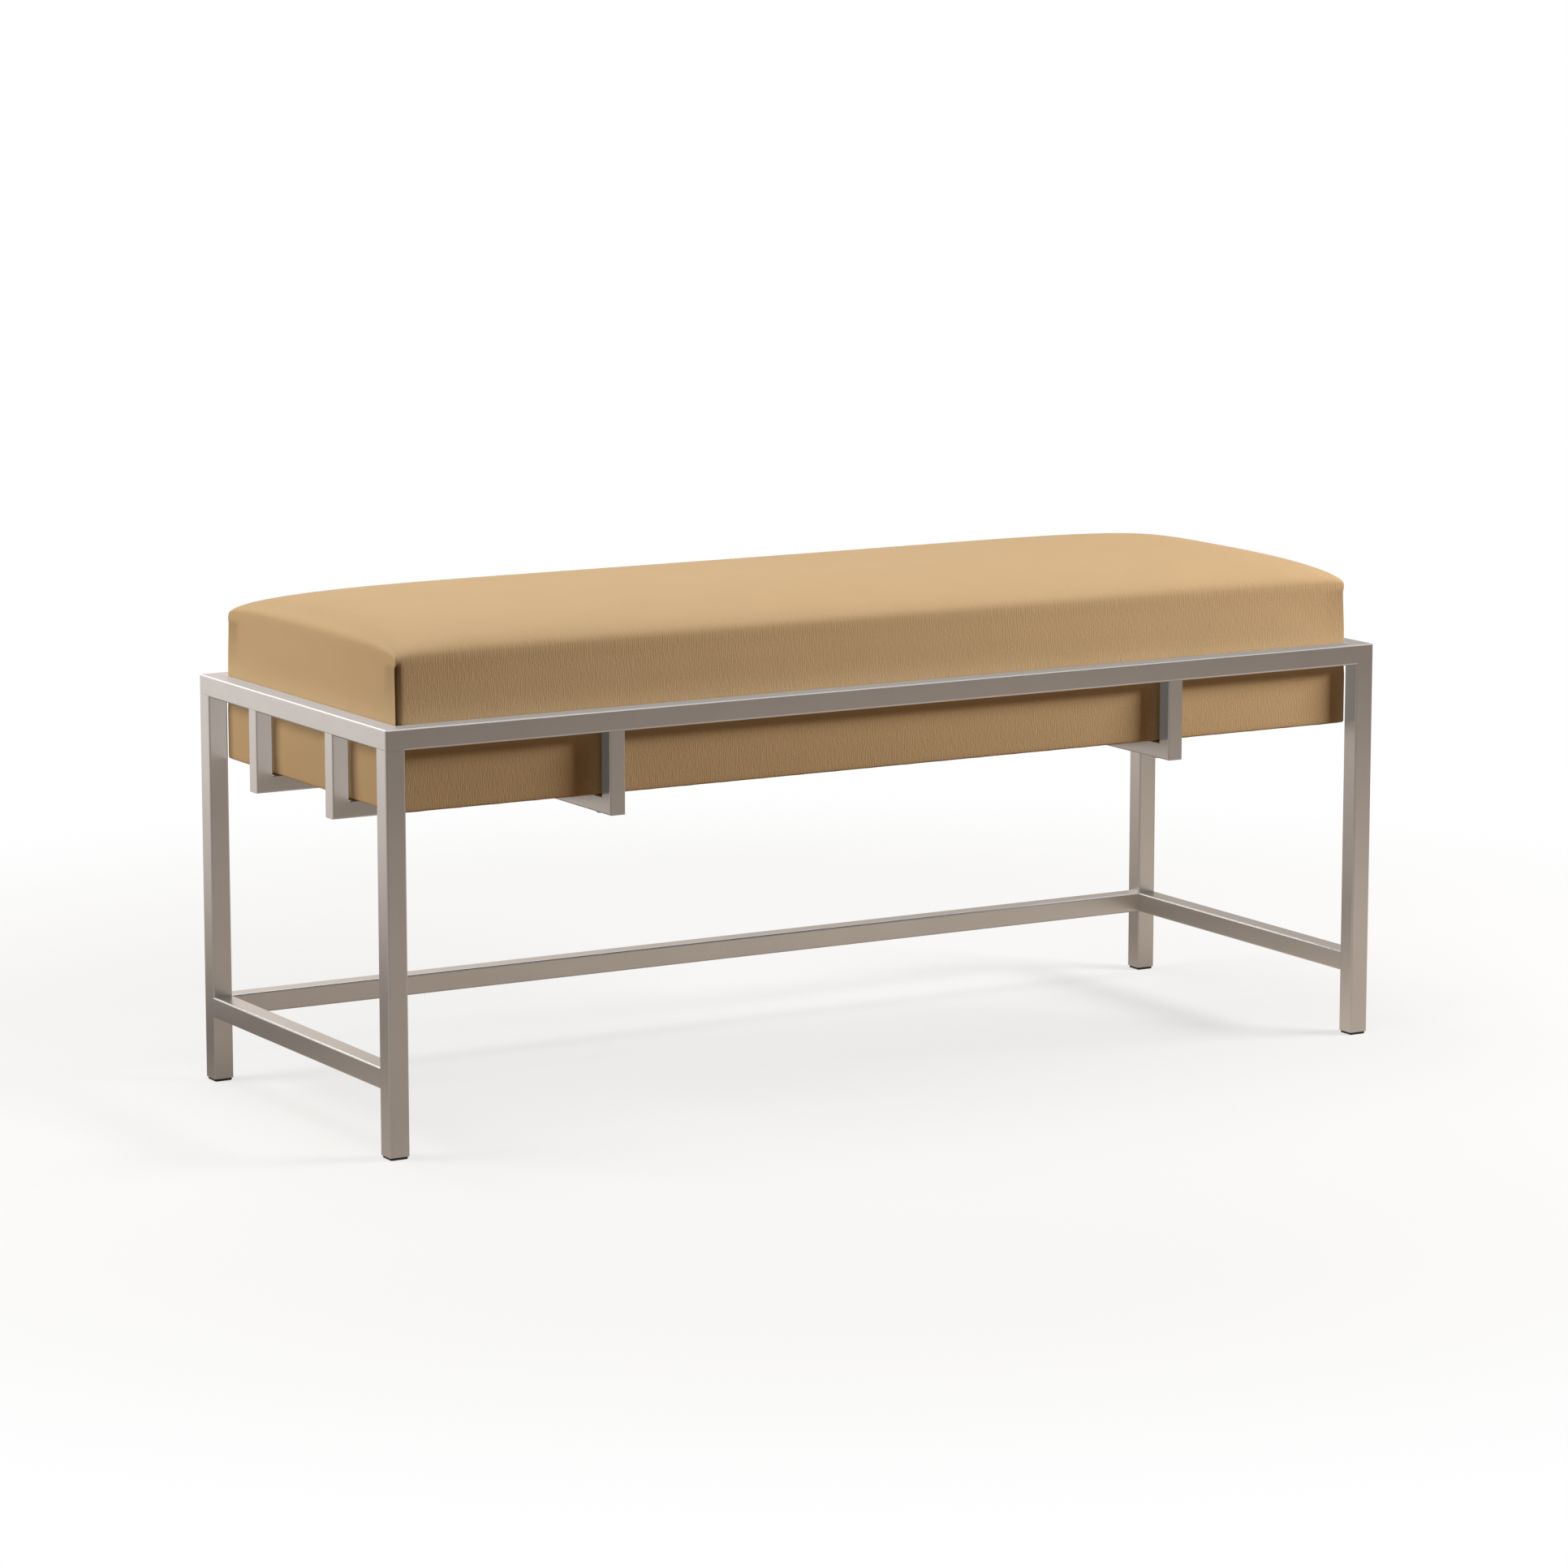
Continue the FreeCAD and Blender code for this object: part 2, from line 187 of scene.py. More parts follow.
weld_set = np.array([weld_rings(sign_x, sign_y) for sign_x in (-1, 1) for sign_y in (-1, 1)])
weld_quads = tube_quads(*weld_set.shape[1:3])
weld_quads = (np.arange(4)[:, None, None] * weld_set[0, ..., 0].size + weld_quads).reshape(-1, 4)
welds = mesh_piece("leg_welds", weld_set.reshape(-1, 3), weld_quads, nickel[2])
welds.data.set_sharp_from_angle(angle=math.radians(40))
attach(welds, "root")

# Glides: a pad and a ribbed stem, moulded in one piece of black nylon and pushed into each leg.
# The moulding leaves a fine dull grain, and the floor scuffs it a little paler.
NYLON_BLACK = "161616"
NYLON_SCUFFED = "2B2A29"
MOULD_GRAIN = 0.5 * MM
SCUFF_SIZE = 4 * MM


def moulded_nylon():
    """Black nylon with a fine moulded grain, paler where it is scuffed."""
    material, tree, output = new_material("moulded_black_nylon")
    place = add_node(tree, "ShaderNodeTexCoord", {}, {}).outputs["Object"]
    grain = add_node(tree, "ShaderNodeTexNoise", {}, {"Vector": place, "Scale": 1 / MOULD_GRAIN}).outputs[0]
    scuff = add_node(tree, "ShaderNodeTexNoise", {}, {"Vector": place, "Scale": 1 / SCUFF_SIZE}).outputs[0]
    tone = add_node(tree, "ShaderNodeMix", {"data_type": "RGBA"}, {
        0: scuff, 6: linear(NYLON_BLACK), 7: linear(NYLON_SCUFFED)}).outputs[2]
    relief = add_node(tree, "ShaderNodeBump", {}, {
        "Height": grain, "Strength": 0.4, "Distance": 0.05 * MM}).outputs[0]
    shader = add_node(tree, "ShaderNodeBsdfPrincipled", {}, {
        "Base Color": tone, "Roughness": 0.55, "IOR": 1.53, "Normal": relief})
    tree.links.new(shader.outputs[0], output.inputs[0])
    return material


nylon = moulded_nylon()
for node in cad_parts:
    if node.startswith("glide_"):
        dress(node, nylon)

# Seat box: rails, corner blocks and battens of planed pine, glued together, with a plywood deck glued and
# stapled on top. All of it is closed in by the cover, so the wood is left bare.
PINE_EARLY = "E0C08F"
PINE_LATE = "C0935C"
PINE_RING = 9 * MM
PLY_FACE = "D3B280"
PLY_STREAK = "BC945F"
PLY_FIGURE = 22 * MM
GRAIN_RUN = 14


def planed_wood(name, early, late, ring, axis):
    """Bare planed wood: pale and darker growth rings, drawn out along the grain."""
    material, tree, output = new_material(name)
    place = add_node(tree, "ShaderNodeTexCoord", {}, {}).outputs["Object"]
    stretch = [1 / ring] * 3
    stretch[axis] = 1 / (ring * GRAIN_RUN)
    along = add_node(tree, "ShaderNodeMapping", {}, {"Vector": place, "Scale": stretch}).outputs[0]
    rings = add_node(tree, "ShaderNodeTexNoise", {}, {
        "Vector": along, "Scale": 1.0, "Detail": 4.0, "Distortion": 0.6}).outputs[0]
    tone = add_node(tree, "ShaderNodeMix", {"data_type": "RGBA"}, {
        0: rings, 6: linear(early), 7: linear(late)}).outputs[2]
    relief = add_node(tree, "ShaderNodeBump", {}, {
        "Height": rings, "Strength": 0.2, "Distance": 0.1 * MM}).outputs[0]
    shader = add_node(tree, "ShaderNodeBsdfPrincipled", {}, {
        "Base Color": tone, "Roughness": 0.6, "IOR": 1.5, "Normal": relief})
    tree.links.new(shader.outputs[0], output.inputs[0])
    return material


pine = [
    planed_wood("planed_pine_" + "xyz"[axis], PINE_EARLY, PINE_LATE, PINE_RING, axis) for axis in range(3)]
plywood = planed_wood("rotary_cut_plywood", PLY_FACE, PLY_STREAK, PLY_FIGURE, 0)
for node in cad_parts:
    if node.startswith(("box_rail_", "deck_batten_", "corner_block_")):
        dress(node, pine[tube_axis(node)])
dress("seat_deck", plywood)

# Seat upholstery: one ribbed cloth over wadding and foam, drawn down over the box and stapled underneath.
# The cloth runs unbroken from the front over the crown to the back and over both ends, so the only seams are
# the four upright ones at the corners, where the spare cloth is sewn away.
SIDE_HEIGHT = 60.7 * MM
CROWN_RISE = 38.2 * MM
SIDE_POWER = 2.75
END_POWER = 3.95
END_LENGTH = 365 * MM
HIP_POWER = 0.8
SIDE_DRAW = 2.0 * MM
END_ROUND = 28 * MM
TOP_INSET = 0.6 * MM
LOW_FILL = 0.5 * MM
LOW_BULGE = 1.2 * MM
CORNER_RADIUS = 1.2 * MM
FOOT_RADIUS = 2.5 * MM
FIRST_STEP = 0.4 * MM
STEP_GROWTH = 1.1
LARGEST_STEP = 7.5 * MM
SIDE_STEP = 5.0 * MM
FOOT_ROWS = 5
EVEN_STEP = 8.0 * MM
CROWN_SLACK = 5.4 * MM
SIDE_SLACK = 0.8 * MM
PRESSURE = 0.5
STRETCH_STIFFNESS = 120
SHEAR_STIFFNESS = 60
BEND_STIFFNESS = 20
SWELL_FRAMES = 20
SWELL_CAP = 6.0 * MM
RING_HOLD = 8 * MM
CORNER_HOLD = 12 * MM
# Each seam: the axis that its face looks along, the face's side, and the end of the face that it stands at
SEAMS = ((1, -1, -1), (0, 1, -1), (1, 1, 1), (1, 1, -1))
SEAM_FROM_END = 1.6 * MM
SEAM_NEAR = 0.8 * MM
SEAM_FAR = 3.6 * MM
SEAM_SLOT = 5.0 * MM
SEAM_DIP = 1.3 * MM
SEAM_EASE = 7.0 * MM
SEAM_TOP_FADE = 5.0 * MM
SEAM_FOOT_FADE = 28 * MM
# Share of the cloth's colour left at the bottom of a seam's crease: painted shade
SEAM_PAINTED_SHADE = 0.2
CLOTH_PALE = "D8B990"
CLOTH_DEEP = "D2B389"
CLOTH_SHEEN = "F0D9B4"
RIB_PITCH = 1.4 * MM
RIB_RUN = 10 * MM
RIB_HEIGHT = 0.27 * MM
RIB_FADE = 30 * MM
RIB_LEAST = 0.12
THREAD_PITCH = 1.2 * MM
SLUB_SIZE = 60 * MM

seat_low, seat_high = (np.array(corner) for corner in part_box("seat_cover"))
half_length, half_depth = seat_high[:2]
seat_foot = seat_low[2]
side_top = ring_top + SIDE_HEIGHT


def graded(half):
    """Grid lines from -half to half: the steps grow evenly from each end up to the largest step."""
    steps = np.minimum(FIRST_STEP * STEP_GROWTH ** np.arange(400), LARGEST_STEP)
    reach = np.concatenate([[0.0], np.cumsum(steps)])
    count = int(np.searchsorted(reach, half))
    inner = reach[:count + 1] * half / reach[count]
    return np.concatenate([inner - half, (half - inner[:-1])[::-1]])


def rounded_plan(x, y, half_x, half_y, radius):
    """Bend an oblong's square corners round: within a radius of both sides, a square becomes a quarter disc.

    There u and v run from 0 to 1 towards the two sides, and a point goes to the distance max(u, v) from the
    corner's centre, at an angle of 45 degrees times min/max from the nearer axis.
    """
    u = 1 - (half_x - np.abs(x)) / radius
    v = 1 - (half_y - np.abs(y)) / radius
    inside = (u > 0) & (v > 0)
    far = np.where(inside, np.maximum(u, v), 1.0)
    turn = math.pi / 4 * np.where(inside, np.minimum(u, v), 0.0) / far
    long_part = far * np.cos(turn) * radius
    short_part = far * np.sin(turn) * radius
    new_x = half_x - radius + np.where(u >= v, long_part, short_part)
    new_y = half_y - radius + np.where(u >= v, short_part, long_part)
    return np.where(inside, np.sign(x) * new_x, x), np.where(inside, np.sign(y) * new_y, y)


def crown_height(x, y):
    """Rise of the crown before it swells.

    Over a side and over an end it rises as s = (1 - (1 - d)^p)^(1/p), with d the share of the way in. The
    two are joined as (e^-k + s^-k - 1)^(-1/k), and the room left for the swelling is taken off.
    """
    in_from_end = np.clip((half_length - np.abs(x)) / END_LENGTH, 0, 1)
    in_from_side = np.clip((half_depth - np.abs(y)) / half_depth, 0, 1)
    over_end = (1 - (1 - in_from_end) ** END_POWER) ** (1 / END_POWER) + 1e-12
    over_side = (1 - (1 - in_from_side) ** SIDE_POWER) ** (1 / SIDE_POWER) + 1e-12
    share = (over_end**-HIP_POWER + over_side**-HIP_POWER - 1) ** (-1 / HIP_POWER)
    slack = np.clip(1 - (x / half_length) ** 2, 0, 1) ** 1.6
    slack = slack * np.clip(1 - (y / half_depth) ** 2, 0, 1) ** 2
    return CROWN_RISE * share - CROWN_SLACK * slack


def seat_place(x, y, inset, z, draw):
    """Points of the cover at plan places x, y on the full outline, drawn in by an inset and at mid sides."""
    half_x = half_length - inset
    half_y = half_depth - inset
    plan_x, plan_y = rounded_plan(
        x * half_x / half_length, y * half_y / half_depth, half_x, half_y, CORNER_RADIUS)
    across_x = 1 - draw * (1 - (y / half_depth) ** 2) / half_length
    across_y = 1 - draw * (1 - (x / half_length) ** 2) / half_depth
    return np.stack([plan_x * across_x, plan_y * across_y, z + 0 * x], axis=-1)


def end_rounding(cloth):
    """How far the end's top edge sinks into the soft foam, for places on the flat cloth.

    At s from the edge, less than a reach L, a point moves L * ((1 - s/L) / 2)^2 along the crown's slope and
    as far down. The reach is largest at mid-depth and nothing at the corners.
    """
    x, y = np.moveaxis(cloth, -1, 0)
    reach = END_ROUND * (1 - np.minimum(np.abs(y) / half_depth, 1) ** 6) + 0.01 * MM
    share = np.clip(1 - np.abs(np.abs(x) - half_length) / reach, 0, 1) / 2
    slope = np.arctan(crown_height(half_length - 2 * MM + 0 * y, y) / (2 * MM))
    sink = reach * share**2
    return np.stack([-np.sign(x) * sink * np.cos(slope), 0 * y, sink * (np.sin(slope) - 1)], axis=-1)


def grid_quads(rows, columns):
    """Corner numbers of each quad of a grid of points, row by row."""
    first = (np.arange(rows - 1)[:, None] * columns + np.arange(columns - 1)).ravel()
    return np.stack([first, first + 1, first + columns + 1, first + columns], axis=1)


def seat_patches(lines_x, lines_y):
    """The cover before it swells, as six grids that share their edges: top, bottom, two sides and two ends.

    Each grid comes with its cloth places, which are metres along the length and the depth of the flat cloth,
    and with whether its faces are turned over.
    """
    foot_turn = np.linspace(0, math.pi / 2, FOOT_ROWS)
    foot_inset = FOOT_RADIUS * (1 - np.sin(foot_turn))
    foot_z = seat_foot + FOOT_RADIUS * (1 - np.cos(foot_turn))
    rows = int(round((side_top - foot_z[-1]) / SIDE_STEP))
    side_z = np.linspace(foot_z[-1], side_top, rows + 1)[1:]
    level_z = np.concatenate([foot_z, side_z])
    level_inset = np.concatenate([foot_inset, 0 * side_z])
    above = np.clip((level_z - ring_top) / (side_top - ring_top), 0, 1)
    soft = above**2 * (3 - 2 * above)
    below = np.clip((ring_foot - level_z) / (ring_foot - seat_foot), 0, 1)
    level_inset = level_inset + TOP_INSET * soft - LOW_FILL * np.minimum(1, 5 * below)
    level_draw = SIDE_DRAW * soft + SIDE_SLACK * np.sin(math.pi * above)
    level_draw = level_draw - LOW_BULGE * np.sin(math.pi * below)
    drop = side_top - level_z
    patches = []
    grid_x, grid_y = np.meshgrid(lines_x, lines_y)
    cloth = np.stack([grid_x, grid_y], axis=-1)
    top = seat_place(grid_x, grid_y, level_inset[-1], side_top + crown_height(grid_x, grid_y), SIDE_DRAW)
    patches.append((top + end_rounding(cloth), cloth, False))
    bottom = seat_place(grid_x, grid_y, level_inset[0], seat_foot, 0.0)
    patches.append((bottom, cloth, True))
    for side in (-1, 1):
        along, level = np.meshgrid(lines_x, np.arange(len(level_z)))
        edge = np.full_like(along, side * half_depth)
        points = seat_place(along, edge, level_inset[level], level_z[level], level_draw[level])
        cloth = np.stack([along, edge + side * drop[level]], axis=-1)
        patches.append((points, cloth, side > 0))
        along, level = np.meshgrid(lines_y, np.arange(len(level_z)))
        edge = np.full_like(along, side * half_length)
        points = seat_place(edge, along, level_inset[level], level_z[level], level_draw[level])
        cloth = np.stack([edge + side * drop[level], along], axis=-1)
        patches.append((points + end_rounding(cloth), cloth, side < 0))
    return patches


def sewn_together(patches):
    """One closed mesh of the patches: points, quads, cloth places per corner, each patch's point numbers."""
    points = np.concatenate([grid.reshape(-1, 3) for grid, _, _ in patches])
    keys = np.round(points / (0.01 * MM)).astype(np.int64)
    _, first, merged = np.unique(keys, axis=0, return_index=True, return_inverse=True)
    quads, cloth, numbers = [], [], []
    start = 0
    for grid, places, turned in patches:
        rows, columns = grid.shape[:2]
        own = merged.ravel()[start:start + rows * columns]
        faces = grid_quads(rows, columns)
        faces = faces[:, ::-1] if turned else faces
        quads.append(own[faces])
        cloth.append(places.reshape(-1, 2)[faces])
        numbers.append(own.reshape(rows, columns))
        start += rows * columns
    return points[first], np.concatenate(quads), np.concatenate(cloth), numbers


def held_share(points):
    """1 where the cover is held, at the ring and below, and 0 a little above it; the corners hold it too."""
    above = (points[:, 2] - ring_top) / RING_HOLD
    from_corner = np.maximum(half_length - np.abs(points[:, 0]), half_depth - np.abs(points[:, 1]))
    return np.clip(np.maximum(1 - above, 0.9 * (1 - from_corner / CORNER_HOLD)), 0, 1)


def swelling(points, quads):
    """How far each point moves when the cover, as stiff cloth held at ring and corners, is blown up a little."""
    trial = mesh_piece("swelling_cover", points, quads, None)
    group = trial.vertex_groups.new(name="held")
    tenths = np.round(held_share(points) * 10).astype(int)
    for tenth in range(11):
        group.add(np.flatnonzero(tenths == tenth).tolist(), tenth / 10, "REPLACE")
    cloth = trial.modifiers.new("cloth", "CLOTH")
    cloth.point_cache.frame_start = 1
    cloth.point_cache.frame_end = SWELL_FRAMES
    settings = cloth.settings
    settings.quality = 6
    settings.mass = 0.4
    settings.tension_stiffness = STRETCH_STIFFNESS
    settings.compression_stiffness = STRETCH_STIFFNESS
    settings.shear_stiffness = SHEAR_STIFFNESS
    settings.bending_stiffness = BEND_STIFFNESS
    settings.tension_damping = 10
    settings.compression_damping = 10
    settings.shear_damping = 10
    settings.air_damping = 5
    settings.use_pressure = True
    settings.uniform_pressure_force = PRESSURE
    settings.vertex_group_mass = group.name
    settings.effector_weights.gravity = 0
    for step in range(1, SWELL_FRAMES + 1):
        bpy.context.scene.frame_set(step)
    shape = trial.evaluated_get(bpy.context.evaluated_depsgraph_get()).to_mesh()
    moved = np.empty(3 * len(points))
    shape.vertices.foreach_get("co", moved)
    bpy.data.objects.remove(trial)
    bpy.context.scene.frame_set(1)
    shift = moved.reshape(-1, 3) - points
    length = np.linalg.norm(shift, axis=1, keepdims=True)
    return shift * np.minimum(1, SWELL_CAP / np.maximum(length, 1e-9))


def line_weights(fine, even):
    """Weights that read values on even lines at fine lines, by a cubic through the four nearest lines."""
    place = np.interp(fine, even, np.arange(len(even)))
    t = np.abs(place[:, None] - np.arange(len(even)))
    inner = 1.5 * t**3 - 2.5 * t**2 + 1
    outer = -0.5 * t**3 + 2.5 * t**2 - 4 * t + 2
    weights = np.where(t < 1, inner, np.where(t < 2, outer, 0))
    return weights / weights.sum(axis=1, keepdims=True)


def swollen_patches(fine, lines_x, lines_y):
    """The fine patches moved by the swelling of a cover of the same shape on even lines."""
    even_x = np.linspace(-half_length, half_length, int(2 * half_length / EVEN_STEP) + 1)
    even_y = np.linspace(-half_depth, half_depth, int(2 * half_depth / EVEN_STEP) + 1)
    points, quads, _, numbers = sewn_together(seat_patches(even_x, even_y))
    shift = swelling(points, quads)
    to_x = line_weights(lines_x, even_x)
    to_y = line_weights(lines_y, even_y)
    moved = []
    for (grid, _, _), own in zip(fine, numbers):
        rows = to_y if grid.shape[0] == len(lines_y) else np.eye(grid.shape[0])
        columns = to_x if grid.shape[1] == len(lines_x) else to_y
        moved.append(grid + np.einsum("ri,ijk,cj->rck", rows, shift[own], columns))
    return moved


def seam_shape(flat):
    """How far the four upright seams draw each point in along x and y, and how deep in a slot it is, 0 to 1.

    At e past the seam there is a slot of depth * exp(-(e/w)^2), steeper on the corner's side, and a dip that
    eases out as exp(-e/l). Both fade out under the top edge, and under the foot. The slot's share also sets the
    painted shade that darkens the cloth's colour in the crease.
    """
    under_edge = np.clip((side_top - flat[:, 2]) / SEAM_TOP_FADE, 0, 1)
    halves = (half_length, half_depth)
    pull = np.zeros_like(flat)
    fold_shade = np.zeros(len(flat))
    for face, side, end in SEAMS:
        along = 1 - face
        near = np.clip(1 - (halves[face] - side * flat[:, face]) / SEAM_FOOT_FADE, 0, 1)
        near = near * under_edge * (2 - under_edge)
        past = halves[along] - end * flat[:, along] - SEAM_FROM_END
        slot = np.exp(-((past / np.where(past < 0, SEAM_NEAR, SEAM_FAR)) ** 2)) * near
        dip = np.exp(-np.abs(past) / SEAM_EASE) * (past > 0) * near
        pull[:, face] -= side * (SEAM_SLOT * slot + SEAM_DIP * dip)
        fold_shade = np.maximum(fold_shade, slot)
    return pull, fold_shade


def rib_show(flat):
    """How far the ribs stand up: fully on the long sides, less where the cloth is pulled smooth over foam."""
    from_side = half_depth - np.abs(flat[:, 1])
    on_end = half_length - np.abs(flat[:, 0]) < 2 * CORNER_RADIUS
    return np.where(on_end, RIB_LEAST, np.clip(1 - from_side / RIB_FADE, RIB_LEAST, 1))


def ribbed_cloth():
    """Ribbed upholstery cloth, plain woven with thick and thin threads laid across the seat's length.

    Straight uneven ribs run up the front, over the crown and down the back, with finer threads across them.
    They show by the shadow that light from the side leaves between them. Real ribs are about 0.8 mm apart;
    they are drawn 1.4 mm apart.
    """
    material, tree, output = new_material("ribbed_upholstery_cloth")
    place = add_node(tree, "ShaderNodeUVMap", {"uv_map": "cloth"}, {}).outputs[0]
    rib_scale = (1 / RIB_PITCH, 1 / RIB_RUN, 1.0)
    rib_place = add_node(tree, "ShaderNodeMapping", {}, {"Vector": place, "Scale": rib_scale}).outputs[0]
    ribs = add_node(tree, "ShaderNodeTexNoise", {"noise_dimensions": "2D"}, {
        "Vector": rib_place, "Scale": 1.0, "Detail": 1.0, "Roughness": 0.5}).outputs[0]
    thread_place = add_node(tree, "ShaderNodeMapping", {}, {
        "Vector": place, "Scale": (1 / THREAD_PITCH, 1 / (2 * THREAD_PITCH), 1.0)}).outputs[0]
    threads = add_node(tree, "ShaderNodeTexNoise", {"noise_dimensions": "2D"}, {
        "Vector": thread_place, "Scale": 1.0, "Detail": 1.0}).outputs[0]
    slub = add_node(tree, "ShaderNodeTexNoise", {"noise_dimensions": "2D"}, {
        "Vector": place, "Scale": 1 / SLUB_SIZE, "Detail": 2.0}).outputs[0]
    tone = add_node(tree, "ShaderNodeMix", {"data_type": "RGBA"}, {
        0: threads, 6: linear(CLOTH_DEEP), 7: linear(CLOTH_PALE)}).outputs[2]
    shade = add_node(tree, "ShaderNodeMapRange", {}, {
        "Value": slub, "From Min": 0.3, "From Max": 0.7, "To Min": 0.99, "To Max": 1.01}).outputs[0]
    # Painted shade: the colour is darkened in each seam's crease, by the slot share that seam_shape gives
    fold_shade = add_node(tree, "ShaderNodeAttribute", {"attribute_name": "seam_painted_shade"}, {}).outputs["Fac"]
    painted_crease_shade = add_node(tree, "ShaderNodeMapRange", {}, {
        "Value": fold_shade, "To Min": 1.0, "To Max": SEAM_PAINTED_SHADE}).outputs[0]
    both = add_node(tree, "ShaderNodeMath", {"operation": "MULTIPLY"}, {0: shade, 1: painted_crease_shade}).outputs[0]
    colour = add_node(tree, "ShaderNodeVectorMath", {"operation": "SCALE"}, {
        "Vector": tone, "Scale": both}).outputs[0]
    show = add_node(tree, "ShaderNodeAttribute", {"attribute_name": "rib_show"}, {}).outputs["Fac"]
    height = add_node(tree, "ShaderNodeMath", {"operation": "MULTIPLY_ADD"}, {
        0: threads, 1: 0.7, 2: ribs}).outputs[0]
    relief = add_node(tree, "ShaderNodeBump", {}, {
        "Height": height, "Strength": show, "Distance": RIB_HEIGHT}).outputs[0]
    shader = add_node(tree, "ShaderNodeBsdfPrincipled", {}, {
        "Base Color": colour, "Roughness": 0.85, "IOR": 1.45, "Specular IOR Level": 0.2,
        "Sheen Weight": 0.03, "Sheen Roughness": 0.4, "Sheen Tint": linear(CLOTH_SHEEN), "Normal": relief})
    tree.links.new(shader.outputs[0], output.inputs[0])
    return material


lines_x = graded(half_length)
lines_y = graded(half_depth)
patches = seat_patches(lines_x, lines_y)
flat_points, seat_quads, cloth_places, numbers = sewn_together(patches)
seat_points = flat_points.copy()
for own, grid in zip(numbers, swollen_patches(patches, lines_x, lines_y)):
    seat_points[own] = grid
# The seams draw the points in; their slot share is kept for the painted shade in each crease
pull, fold_shade = seam_shape(flat_points)
seat_points += pull
seat = mesh_piece("seat_upholstery", seat_points, seat_quads, ribbed_cloth())
cloth_map = seat.data.uv_layers.new(name="cloth")
cloth_map.data.foreach_set("uv", cloth_places.ravel())
for name, values in (("seam_painted_shade", fold_shade), ("rib_show", rib_show(flat_points))):
    seat.data.attributes.new(name, "FLOAT", "POINT").data.foreach_set("value", values)
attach(seat, "root")
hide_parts("seat_cover", "wadding", "foam_block")

# Dust cover: a sheet of black spun-bonded cloth, its edge turned in, stapled over the cover's hem.
# It is pulled tight over the box and sags a little between the cradle bars that press against it.
DUST_BLACK = "1B1A19"
DUST_GREY = "2C2B29"
DUST_DOT = 1.6 * MM
DUST_FIBRE = 0.6 * MM
DUST_STEP = 6.0 * MM
DUST_SAG = 2.2 * MM
PUCKER = 0.5 * MM
PUCKER_REACH = 14 * MM
STAPLE_PITCH = 44 * MM
STAPLE_INSET = 11 * MM

dust_low, dust_high = (np.array(corner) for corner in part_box("dust_cover"))
bar_low, bar_high = (np.array(corner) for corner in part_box("cradle_bar_back"))
cross_low, cross_high = (np.array(corner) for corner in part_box("cradle_cross_right_middle"))


def between(value, low, high):
    """A soft hump: sin^2 from 0 at low to 1 halfway and 0 at high, and 0 outside."""
    share = np.clip((value - low) / (high - low), 0, 1)
    return np.sin(math.pi * share) ** 2


def sag_between_bars(place, bar_inner, bar_outer, edge):
    """Sag share along one axis: a hump between the two bars and one from each bar to the sheet's edge."""
    reach = np.abs(place)
    middle = np.where(reach < bar_inner, np.cos(0.5 * math.pi * np.clip(reach / bar_inner, 0, 1)) ** 2, 0)
    return middle + between(reach, bar_outer, edge)


def dust_sheet():
    """The sheet's middle surface: flat at the bars and edge, lower between them, puckered between staples."""
    half_x, half_y = dust_high[:2]
    line_x = np.linspace(-half_x, half_x, int(2 * half_x / DUST_STEP) + 1)
    line_y = np.linspace(-half_y, half_y, int(2 * half_y / DUST_STEP) + 1)
    x, y = np.meshgrid(line_x, line_y)
    sag = DUST_SAG * sag_between_bars(x, cross_low[0], cross_high[0], half_x)
    sag = sag * sag_between_bars(y, bar_low[1], bar_high[1], half_y)
    edge_x = half_x - np.abs(x)
    edge_y = half_y - np.abs(y)
    ripple_x = np.sin(math.pi * x / STAPLE_PITCH) ** 2 * np.exp(-edge_y / PUCKER_REACH)
    ripple_y = np.sin(math.pi * y / STAPLE_PITCH) ** 2 * np.exp(-edge_x / PUCKER_REACH)
    clear_x = between(np.abs(x), cross_low[0] - PUCKER_REACH, cross_high[0] + PUCKER_REACH)
    clear_y = between(np.abs(y), bar_low[1] - PUCKER_REACH, bar_high[1] + PUCKER_REACH)
    pucker = PUCKER * (ripple_x * (1 - clear_x) + ripple_y * (1 - clear_y))
    z = (dust_low[2] + dust_high[2]) / 2 - sag - pucker
    return np.stack([x, y, z], axis=-1)


def spun_bonded_cloth():
    """Black spun-bonded polypropylene: matted fibres, pressed together in rows of small dots."""
    material, tree, output = new_material("black_spun_bonded_cloth")
    place = add_node(tree, "ShaderNodeTexCoord", {}, {}).outputs["Object"]
    dots = add_node(tree, "ShaderNodeTexVoronoi", {"voronoi_dimensions": "2D"}, {
        "Vector": place, "Scale": 1 / DUST_DOT, "Randomness": 0.15}).outputs["Distance"]
    fibre = add_node(tree, "ShaderNodeTexNoise", {}, {
        "Vector": place, "Scale": 1 / DUST_FIBRE, "Detail": 4.0, "Distortion": 1.5}).outputs[0]
    tone = add_node(tree, "ShaderNodeMix", {"data_type": "RGBA"}, {
        0: fibre, 6: linear(DUST_BLACK), 7: linear(DUST_GREY)}).outputs[2]
    relief = add_node(tree, "ShaderNodeBump", {}, {
        "Height": dots, "Strength": 0.5, "Distance": 0.15 * MM}).outputs[0]
    shader = add_node(tree, "ShaderNodeBsdfPrincipled", {}, {
        "Base Color": tone, "Roughness": 0.8, "IOR": 1.49, "Normal": relief})
    tree.links.new(shader.outputs[0], output.inputs[0])
    return material


dust_points = dust_sheet()
dust_quads = grid_quads(*dust_points.shape[:2])
dust = mesh_piece("dust_cover_cloth", dust_points.reshape(-1, 3), dust_quads, spun_bonded_cloth())
wall = dust.modifiers.new("thickness", "SOLIDIFY")
wall.thickness = dust_high[2] - dust_low[2]
wall.offset = 0
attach(dust, "root")
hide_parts("dust_cover")

